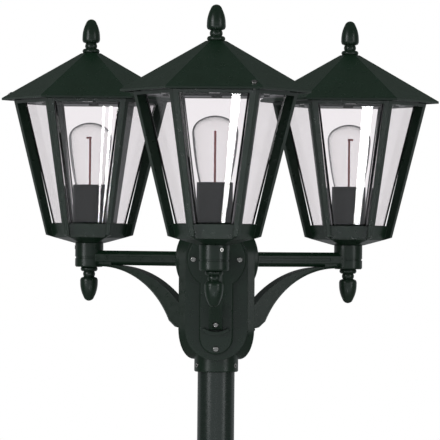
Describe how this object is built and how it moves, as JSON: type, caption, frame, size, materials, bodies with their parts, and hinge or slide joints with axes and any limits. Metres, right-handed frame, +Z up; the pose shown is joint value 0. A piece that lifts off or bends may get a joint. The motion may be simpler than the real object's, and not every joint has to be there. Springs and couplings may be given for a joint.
{
  "type": "triple head lamp post",
  "caption": "Outdoor lamp post with hexagonal glazed lanterns on braced arms round a cast hub, on a round pole with a flanged foot.",
  "frame": {"origin": "on the pole's axis, at the underside of the foot", "axes": "+Z up the pole; -Y towards the front lantern; +X to the right as seen from the front"},
  "size_m": [0.6056, 0.5245, 2.1],
  "materials": {
    "black_paint": "semi-gloss",
    "pane_glass": "clear",
    "bulb_glass": "clear",
    "holder_black": "satin",
    "nickel": "nickel-plated",
    "filament": "drawn",
    "brass": "machined",
    "stainless": "bright",
    "rubber": "matte",
    "block_white": "matte"
  },
  "bodies": {
    "post": {"front_cage": "black_paint", "front_panes": "pane_glass", "front_lamp_holder": "holder_black", "front_holder_insert": "holder_black", "front_nipple": "brass", "front_base_dish": "black_paint", "front_arm": "black_paint", "front_bottom_finial": "black_paint", "front_wall_plate": "black_paint", "right_cage": "black_paint", "right_panes": "pane_glass", "right_lamp_holder": "holder_black", "right_holder_insert": "holder_black", "right_nipple": "brass", "right_base_dish": "black_paint", "right_arm": "black_paint", "right_bottom_finial": "black_paint", "right_wall_plate": "black_paint", "left_cage": "black_paint", "left_panes": "pane_glass", "left_lamp_holder": "holder_black", "left_holder_insert": "holder_black", "left_nipple": "brass", "left_base_dish": "black_paint", "left_arm": "black_paint", "left_bottom_finial": "black_paint", "left_wall_plate": "black_paint", "pane_clips": "stainless", "lock_nuts": "brass", "head_grub_screws": "stainless", "plate_screws": "stainless", "brace_screws": "stainless", "arm_root_screws": "stainless", "plate_gaskets": "rubber", "hub": "black_paint", "pole": "black_paint", "foot": "black_paint", "pole_grub_screws": "stainless", "cable_grommet": "rubber", "terminal_block": "block_white"},
    "front_roof_body": {"front_roof": "black_paint", "front_top_finial": "black_paint", "front_roof_screw": "stainless"},
    "front_bulb_body": {"front_bulb_glass": "bulb_glass", "front_bulb_cap": "nickel", "front_bulb_filament": "filament"},
    "right_roof_body": {"right_roof": "black_paint", "right_top_finial": "black_paint", "right_roof_screw": "stainless"},
    "right_bulb_body": {"right_bulb_glass": "bulb_glass", "right_bulb_cap": "nickel", "right_bulb_filament": "filament"},
    "left_roof_body": {"left_roof": "black_paint", "left_top_finial": "black_paint", "left_roof_screw": "stainless"},
    "left_bulb_body": {"left_bulb_glass": "bulb_glass", "left_bulb_cap": "nickel", "left_bulb_filament": "filament"}
  },
  "joints": [
    {"name": "front_roof_lift", "type": "slide", "parent": "post", "child": "front_roof_body", "axis": [0, 0, 1], "range_m": [0, 0.15]},
    {"name": "front_bulb_lift", "type": "slide", "parent": "post", "child": "front_bulb_body", "axis": [0, 0, 1], "range_m": [0, 0.03]},
    {"name": "right_roof_lift", "type": "slide", "parent": "post", "child": "right_roof_body", "axis": [0, 0, 1], "range_m": [0, 0.15]},
    {"name": "right_bulb_lift", "type": "slide", "parent": "post", "child": "right_bulb_body", "axis": [0, 0, 1], "range_m": [0, 0.03]},
    {"name": "left_roof_lift", "type": "slide", "parent": "post", "child": "left_roof_body", "axis": [0, 0, 1], "range_m": [0, 0.15]},
    {"name": "left_bulb_lift", "type": "slide", "parent": "post", "child": "left_bulb_body", "axis": [0, 0, 1], "range_m": [0, 0.03]}
  ]
}
